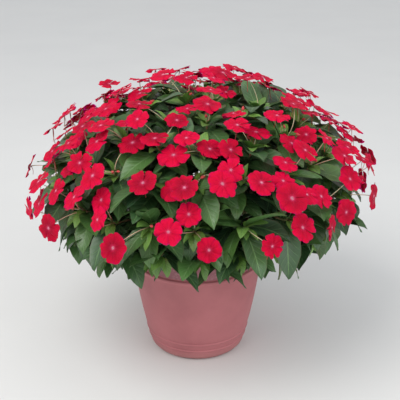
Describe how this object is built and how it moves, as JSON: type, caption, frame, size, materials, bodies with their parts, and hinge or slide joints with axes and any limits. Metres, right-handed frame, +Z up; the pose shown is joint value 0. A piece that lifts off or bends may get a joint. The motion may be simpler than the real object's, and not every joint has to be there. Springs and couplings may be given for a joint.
{
  "type": "potted garden balsam",
  "caption": "Bushy garden balsam in a round plastic pot: upright stems carry whorls of pointed leaves and a low mound of flat red blooms.",
  "frame": {"origin": "centre of the pot's flat underside", "axes": "+Z up along the pot's axis; the pictured side faces -Y"},
  "size_m": [0.7081, 0.7127, 0.5824],
  "materials": {
    "pot": "matte",
    "soil": "matte",
    "foliage": "satin",
    "petals": "satin"
  },
  "bodies": {
    "root": {"pot": "pot", "soil": "soil", "leafy_stem_01": "foliage", "leafy_stem_02": "foliage", "leafy_stem_03": "foliage", "leafy_stem_04": "foliage", "leafy_stem_05": "foliage", "leafy_stem_06": "foliage", "leafy_stem_07": "foliage", "leafy_stem_08": "foliage", "leafy_stem_09": "foliage", "leafy_stem_10": "foliage", "leafy_stem_11": "foliage", "leafy_stem_12": "foliage", "leafy_stem_13": "foliage", "leafy_stem_14": "foliage", "leafy_stem_15": "foliage", "leafy_stem_16": "foliage", "leafy_stem_17": "foliage", "leafy_stem_18": "foliage", "leafy_stem_19": "foliage", "leafy_stem_20": "foliage", "leafy_stem_21": "foliage", "leafy_stem_22": "foliage"}
  },
  "joints": []
}
